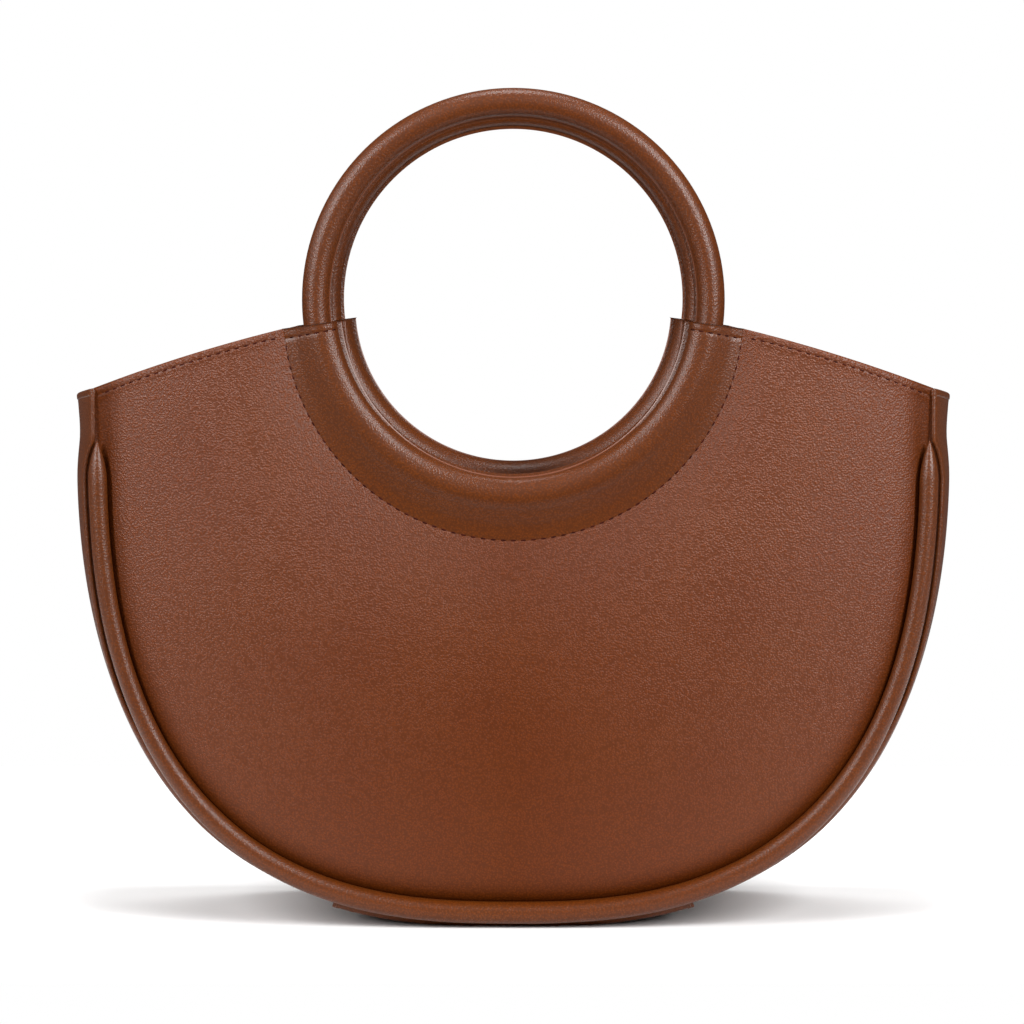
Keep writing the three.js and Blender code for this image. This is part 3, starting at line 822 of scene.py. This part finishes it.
def collar_contour(side, part):
    """Loop round the collar in a plane through the ring's middle, and the steps of it that have edge paint"""
    innermost = {
        "front": lerp(*FRONT_LIP, abs(part) ** FRONT_LIP_POWER),
        "rear": lerp(*REAR_LIP[side], abs(part) ** REAR_LIP_POWER),
    }
    back = curve_through(COLLAR_BACK, COLLAR_CURVE_STEPS)
    front = curve_through(COLLAR_FRONT, COLLAR_CURVE_STEPS)
    lips = [(innermost[layer] + outwards, forward) for layer, outwards, forward in COLLAR_LIPS]
    painted = [len(back) + step for step in COLLAR_PAINTED_STEPS]
    return [*back, *lips, *front, *COLLAR_FLANGE_EDGE], painted


def collar_radius(bag, part, outwards):
    """Distance from the ring's middle to a point of the contour, with the flange stretched to its seam"""
    ring = bag.sizes.ring_radius
    if outwards <= COLLAR_FLANGE_START:
        return ring + outwards * MM
    flange_edge = bag.seam(part, -SEAM_GAP / 2)[1]
    share = (outwards - COLLAR_FLANGE_START) / (COLLAR_FLANGE_EDGE[0][0] - COLLAR_FLANGE_START)
    return lerp(ring + COLLAR_FLANGE_START * MM, flange_edge, share)


def inset_loop(loop, distance):
    """Loop in a plane, drawn in by a distance"""
    drawn = []
    for before, here, after in zip(loop[-1:] + loop[:-1], loop, loop[1:] + loop[:1]):
        along = Vector(after) - Vector(before)
        drawn.append(tuple(Vector(here) + Vector((-along.y, along.x)).normalized() * distance))
    return drawn


def collar_parts():
    """Places along the collar from -1 to 1, close together at its hemmed ends"""
    half_length = COLLAR_MEAN_RADIUS * (math.pi / 2 + COLLAR_OUTER_END)
    end = [1 - row / half_length for row in HEM_ROWS]
    middle = [lerp(-end[-1], end[-1], i / COLLAR_STEPS) for i in range(1, COLLAR_STEPS)]
    return [-part for part in end] + middle + end[::-1]


def collar_place(bag, part, radius, forward):
    """Point in space at a distance from the ring's middle and forward of its plane"""
    s = bag.sizes
    angle = bag.collar_angle(part, radius)
    z = s.ring_height + radius * math.sin(angle)
    return Vector((radius * math.cos(angle), -(s.half_depth + forward), z))


def collar_section(bag, side, part):
    """Loop of the collar in space, with its end rounded and the hem's groove drawn in"""
    from_end = (1 - abs(part)) * COLLAR_MEAN_RADIUS * (math.pi / 2 + COLLAR_OUTER_END)
    loop = collar_contour(side, part)[0]
    drawn = COLLAR_END_ROUND * (1 - rounded(from_end, COLLAR_END_ROUND)) / MM
    points = []
    for outwards, forward in inset_loop(loop, drawn):
        hollow = groove(from_end) if forward > COLLAR_FACE else 0
        points.append(collar_place(bag, part, collar_radius(bag, part, outwards), forward * MM - hollow))
    return [*points, points[0]]


class HANDBAG_OT_collars(bpy.types.Operator):
    """Model the padded collars that hold the rings"""
    bl_idname = "handbag.collars"
    bl_label = "Collars"

    def execute(self, context):
        bag = Bag(context.scene.handbag_sizes)
        colours = context.scene.handbag_colours
        materials = [smooth_leather(colours), edge_paint(colours.edge_paint)]
        parts = collar_parts()

        def bore(i, j):
            turn = -2 * math.pi * (j % COLLAR_BORE_SIDES) / COLLAR_BORE_SIDES
            radius = bag.sizes.ring_radius + COLLAR_BORE_RADIUS * math.cos(turn)
            return collar_place(bag, parts[i], radius, COLLAR_BORE_RADIUS * math.sin(turn))

        for side in ("front", "back"):
            painted = collar_contour(side, 0)[1]
            sections = [collar_section(bag, side, part) for part in parts]
            bm = bmesh.new()
            bend_grid(bm, len(sections) - 1, len(sections[0]) - 1, lambda i, j: sections[i][j], painted)
            bend_grid(bm, len(parts) - 1, COLLAR_BORE_SIDES, bore)
            bmesh.ops.remove_doubles(bm, verts=bm.verts, dist=WELD)
            for end in (-1, 1):
                rims = [e for e in bm.edges if e.is_boundary and e.verts[0].co.x * end > 0]
                bmesh.ops.triangle_fill(bm, use_beauty=True, edges=rims)
            bmesh.ops.recalc_face_normals(bm, faces=bm.faces)
            name = f"{side}_collar"
            piece = add_piece(bm, f"{name}_casing", materials, name, side == "back")
        return {"FINISHED"}


def ring_section(sizes):
    """Points round the ring's tube and its inner seam, as distances from the tube's middle and forward"""
    start = math.pi - RING_LIP_ANGLE
    turns = [lerp(-start, start, i / TUBE_POINTS) for i in range(TUBE_POINTS + 1)]
    tube = [(sizes.tube_radius * math.cos(turn), sizes.tube_radius * math.sin(turn)) for turn in turns]
    return tube + [(inwards * MM, forward * MM) for inwards, forward in RING_LIPS]


class HANDBAG_OT_rings(bpy.types.Operator):
    """Model the leather-covered ring handles with their inner seam"""
    bl_idname = "handbag.rings"
    bl_label = "Rings"

    def execute(self, context):
        s = context.scene.handbag_sizes
        colours = context.scene.handbag_colours
        materials = [smooth_leather(colours), edge_paint(colours.edge_paint)]
        section = ring_section(s)
        middle = Vector((0, -s.half_depth, s.ring_height))
        for side in ("front", "back"):
            bm = bmesh.new()
            loop = bmesh.ops.create_circle(bm, segments=len(section), radius=1)["verts"]
            for vert, (outwards, forward) in zip(loop, section):
                vert.co = middle + Vector((s.ring_radius + outwards, -forward, 0))
            bmesh.ops.spin(bm, geom=bm.verts[:] + bm.edges[:], cent=middle, axis=(0, 1, 0),
                           angle=2 * math.pi, steps=RING_STEPS, use_merge=True)
            bmesh.ops.recalc_face_normals(bm, faces=bm.faces)
            self.paint_lips(bm, middle, s.ring_radius)
            name = f"{side}_ring"
            add_piece(bm, f"{name}_cover", materials, name, side == "back")
        return {"FINISHED"}

    def paint_lips(self, bm, middle, ring_radius):
        """Give edge paint to the cut edges of the seam"""
        edges = [(RING_LIPS[step], RING_LIPS[step + 1]) for step in RING_PAINTED_STEPS]
        spots = [Vector(((a[0] + b[0]) / 2, (a[1] + b[1]) / 2)) * MM for a, b in edges]
        for face in bm.faces:
            centre = face.calc_center_median() - middle
            outwards = math.hypot(centre.x, centre.z) - ring_radius
            spot = Vector((outwards, -centre.y))
            near = min((spot - painted).length for painted in spots)
            face.material_index = 1 if near < RING_PAINT_REACH else 0


def walk(path, pitch):
    """Middle and direction of each stitch along a path"""
    lengths = list(accumulate(((b - a).length for a, b in zip(path, path[1:])), initial=0))
    count = int(lengths[-1] / pitch)
    margin = (lengths[-1] - (count - 1) * pitch) / 2
    for k in range(count):
        place = margin + k * pitch
        i = min(bisect_right(lengths, place), len(path) - 1) - 1
        step = path[i + 1] - path[i]
        yield path[i] + step * ((place - lengths[i]) / step.length), step.normalized()


def sew(bm, path, facing, pitch):
    """Add a row of stitches along a path on leather that faces one way"""
    for middle, along in walk(path, pitch):
        across = facing.cross(along).normalized()
        up = along.cross(across)
        turn = Matrix((across * STITCH_HALF_WIDTH, up * STITCH_HALF_HEIGHT, along * STITCH_HALF_LENGTH))
        spot = Matrix.Translation(middle - up * STITCH_SUNK) @ turn.transposed().to_4x4()
        bmesh.ops.create_uvsphere(bm, u_segments=8, v_segments=6, radius=1, matrix=spot)


def panel_face(bag, share, down):
    """Point on a panel's outer face, at a distance down from its upper edge"""
    section = panel_section(bag, share)
    count = len(section) // 2
    outer = section[:count][::-1]
    places = [(point - outer[0]).length for point in outer]
    i = bisect_right(places, down) - 1
    return outer[i].lerp(outer[i + 1], (down - places[i]) / (places[i + 1] - places[i]))


class HANDBAG_OT_stitching(bpy.types.Operator):
    """Sew the top hems and the seams between collars and panels"""
    bl_idname = "handbag.stitching"
    bl_label = "Stitching"

    def execute(self, context):
        bag = Bag(context.scene.handbag_sizes)
        s = bag.sizes
        material = thread(context.scene.handbag_colours.thread)
        forward = Vector((0, -1, 0))
        steps = STITCH_PATH_STEPS
        top_shares = [lerp(PANEL_ARC_SHARE, TOP_STITCH_END, i / steps) for i in range(steps + 1)]
        right_top = [panel_face(bag, share, HEM_STITCH + GROOVE_DEPTH) for share in top_shares]
        left_top = [panel_face(bag, -share, HEM_STITCH + GROOVE_DEPTH) for share in top_shares]
        seam_parts = [lerp(-SEAM_STITCH_END, SEAM_STITCH_END, i / steps / 2) for i in range(2 * steps + 1)]
        seam = [bag.seam(part, 0)[0] for part in seam_parts]
        for point in seam:
            point.y = -(s.half_depth + SEAM_RISE)
        collar_hems = []
        from_end = HEM_STITCH / (COLLAR_MEAN_RADIUS * (math.pi / 2 + COLLAR_OUTER_END))
        for end in (-1, 1):
            part = end * (1 - from_end)
            front = curve_through(COLLAR_FRONT, COLLAR_CURVE_STEPS)[COLLAR_CURVE_STEPS:]
            collar_hems.append([
                collar_place(bag, part, collar_radius(bag, part, outwards), forward_by * MM - GROOVE_DEPTH)
                for outwards, forward_by in front])
        for side in ("front", "back"):
            bm = bmesh.new()
            for path in (right_top, left_top, *collar_hems):
                sew(bm, path, forward, s.stitch_pitch)
            sew(bm, seam, forward, s.stitch_pitch * SEAM_PITCH_RATIO)
            add_piece(bm, f"{side}_stitching", [material], turned=side == "back")
        return {"FINISHED"}


class HANDBAG_OT_stage(bpy.types.Operator):
    """Lay the floor, hang the lights and set up the camera"""
    bl_idname = "handbag.stage"
    bl_label = "Stage"

    def execute(self, context):
        scene = context.scene
        self.lay_floor(scene)
        self.hang_lights(scene)
        self.light_room(scene)
        self.set_up_camera(scene)
        scene.view_settings.view_transform = "Standard"
        return {"FINISHED"}

    def hang_lights(self, scene):
        """Hang the softboxes and strips, all aimed at the bag"""
        for name, (watts, place, (width, height), mirrored) in LIGHTS.items():
            light = bpy.data.lights.new(name, "AREA")
            light.energy = watts
            light.shape = "RECTANGLE"
            light.size = width
            light.size_y = height
            lamp = bpy.data.objects.new(name, light)
            lamp.location = place
            lamp.rotation_euler = (Vector(LIGHTS_AIM) - Vector(place)).to_track_quat("-Z", "Y").to_euler()
            lamp.visible_glossy = mirrored
            scene.collection.objects.link(lamp)

    def light_room(self, scene):
        """Show a white paper backdrop, in a dim room that fills the shadows"""
        world = bpy.data.worlds.new("studio")
        world.use_nodes = True
        tree = world.node_tree
        tree.nodes.clear()
        path = add_node(tree, "ShaderNodeLightPath")
        fill = add_node(tree, "ShaderNodeMapRange", inputs={
            "Value": path.outputs["Is Glossy Ray"], "To Min": ROOM_FILL, "To Max": ROOM_MIRRORED})
        room = add_node(tree, "ShaderNodeBackground", inputs={
            "Color": (1, 1, 1, 1), "Strength": fill.outputs["Result"]})
        backdrop = add_node(tree, "ShaderNodeBackground", inputs={"Color": (1, 1, 1, 1), "Strength": 1.0})
        seen = add_node(tree, "ShaderNodeMixShader", inputs={
            0: path.outputs["Is Camera Ray"], 1: room.outputs["Background"],
            2: backdrop.outputs["Background"]})
        add_node(tree, "ShaderNodeOutputWorld", inputs={"Surface": seen.outputs["Shader"]})
        scene.world = world

    def set_up_camera(self, scene):
        """Put the camera where the photograph was taken"""
        lens = bpy.data.cameras.new("photograph")
        lens.lens = CAMERA_LENS
        lens.sensor_width = CAMERA_SENSOR
        camera = bpy.data.objects.new("photograph", lens)
        camera.location = CAMERA_PLACE
        camera.rotation_euler = (math.pi / 2 - CAMERA_TILT, 0, 0)
        scene.collection.objects.link(camera)
        scene.camera = camera

    def lay_floor(self, scene):
        """Lay a sheet of pale seamless paper: matt, with a faint tooth"""
        bm = bmesh.new()
        bmesh.ops.create_grid(bm, x_segments=8, y_segments=8, size=1)
        bmesh.ops.scale(bm, verts=bm.verts, vec=(FLOOR_HALF_WIDTH, (FLOOR_BACK - FLOOR_FRONT) / 2, 1))
        bmesh.ops.translate(bm, verts=bm.verts, vec=(0, (FLOOR_BACK + FLOOR_FRONT) / 2, 0))
        mesh = bpy.data.meshes.new("studio_floor")
        bm.to_mesh(mesh)
        bm.free()
        paper = new_material("seamless_paper")
        tree = paper.node_tree
        place = add_node(tree, "ShaderNodeTexCoord").outputs["Object"]
        tooth = add_node(tree, "ShaderNodeTexNoise", inputs={"Vector": place, "Scale": 1 / (4 * MM)})
        bump = add_node(tree, "ShaderNodeBump", inputs={
            "Strength": 0.2, "Distance": 0.1 * MM, "Height": tooth.outputs["Fac"]})
        shader = add_node(tree, "ShaderNodeBsdfPrincipled", inputs={
            "Base Color": (*scene.handbag_colours.floor, 1), "Roughness": 0.9,
            "Normal": bump.outputs["Normal"], "Specular IOR Level": 0.1})
        add_node(tree, "ShaderNodeOutputMaterial", inputs={"Surface": shader.outputs["BSDF"]})
        mesh.materials.append(paper)
        floor = bpy.data.objects.new("studio_floor", mesh)
        scene.collection.objects.link(floor)
        floor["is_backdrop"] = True


OPERATORS = (
    HANDBAG_OT_stage,
    HANDBAG_OT_panels,
    HANDBAG_OT_pipings,
    HANDBAG_OT_gussets,
    HANDBAG_OT_collars,
    HANDBAG_OT_rings,
    HANDBAG_OT_stitching,
)


class HANDBAG_PT_tools(bpy.types.Panel):
    """Handbag tools in the sidebar"""
    bl_label = "Handbag"
    bl_idname = "HANDBAG_PT_tools"
    bl_space_type = "VIEW_3D"
    bl_region_type = "UI"
    bl_category = "Handbag"

    def draw(self, context):
        for group in (context.scene.handbag_sizes, context.scene.handbag_colours):
            column = self.layout.column(align=True)
            for name in group.__annotations__:
                column.prop(group, name)
        for operator in OPERATORS:
            self.layout.operator(operator.bl_idname)


CLASSES = (HandbagSizes, HandbagColours, *OPERATORS, HANDBAG_PT_tools)


def register():
    for cls in CLASSES:
        bpy.utils.register_class(cls)
    bpy.types.Scene.handbag_sizes = PointerProperty(type=HandbagSizes)
    bpy.types.Scene.handbag_colours = PointerProperty(type=HandbagColours)


def unregister():
    del bpy.types.Scene.handbag_colours
    del bpy.types.Scene.handbag_sizes
    for cls in reversed(CLASSES):
        bpy.utils.unregister_class(cls)


def main():
    register()
    bpy.ops.handbag.stage()
    bpy.ops.handbag.panels()
    bpy.ops.handbag.pipings()
    bpy.ops.handbag.gussets()
    bpy.ops.handbag.collars()
    bpy.ops.handbag.rings()
    bpy.ops.handbag.stitching()
    boxes = {"cad": CAD_BOX, "visual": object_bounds()}
    {name: [list(corner) for corner in box] for name, box in boxes.items()}


if __name__ == "__main__":
    main()
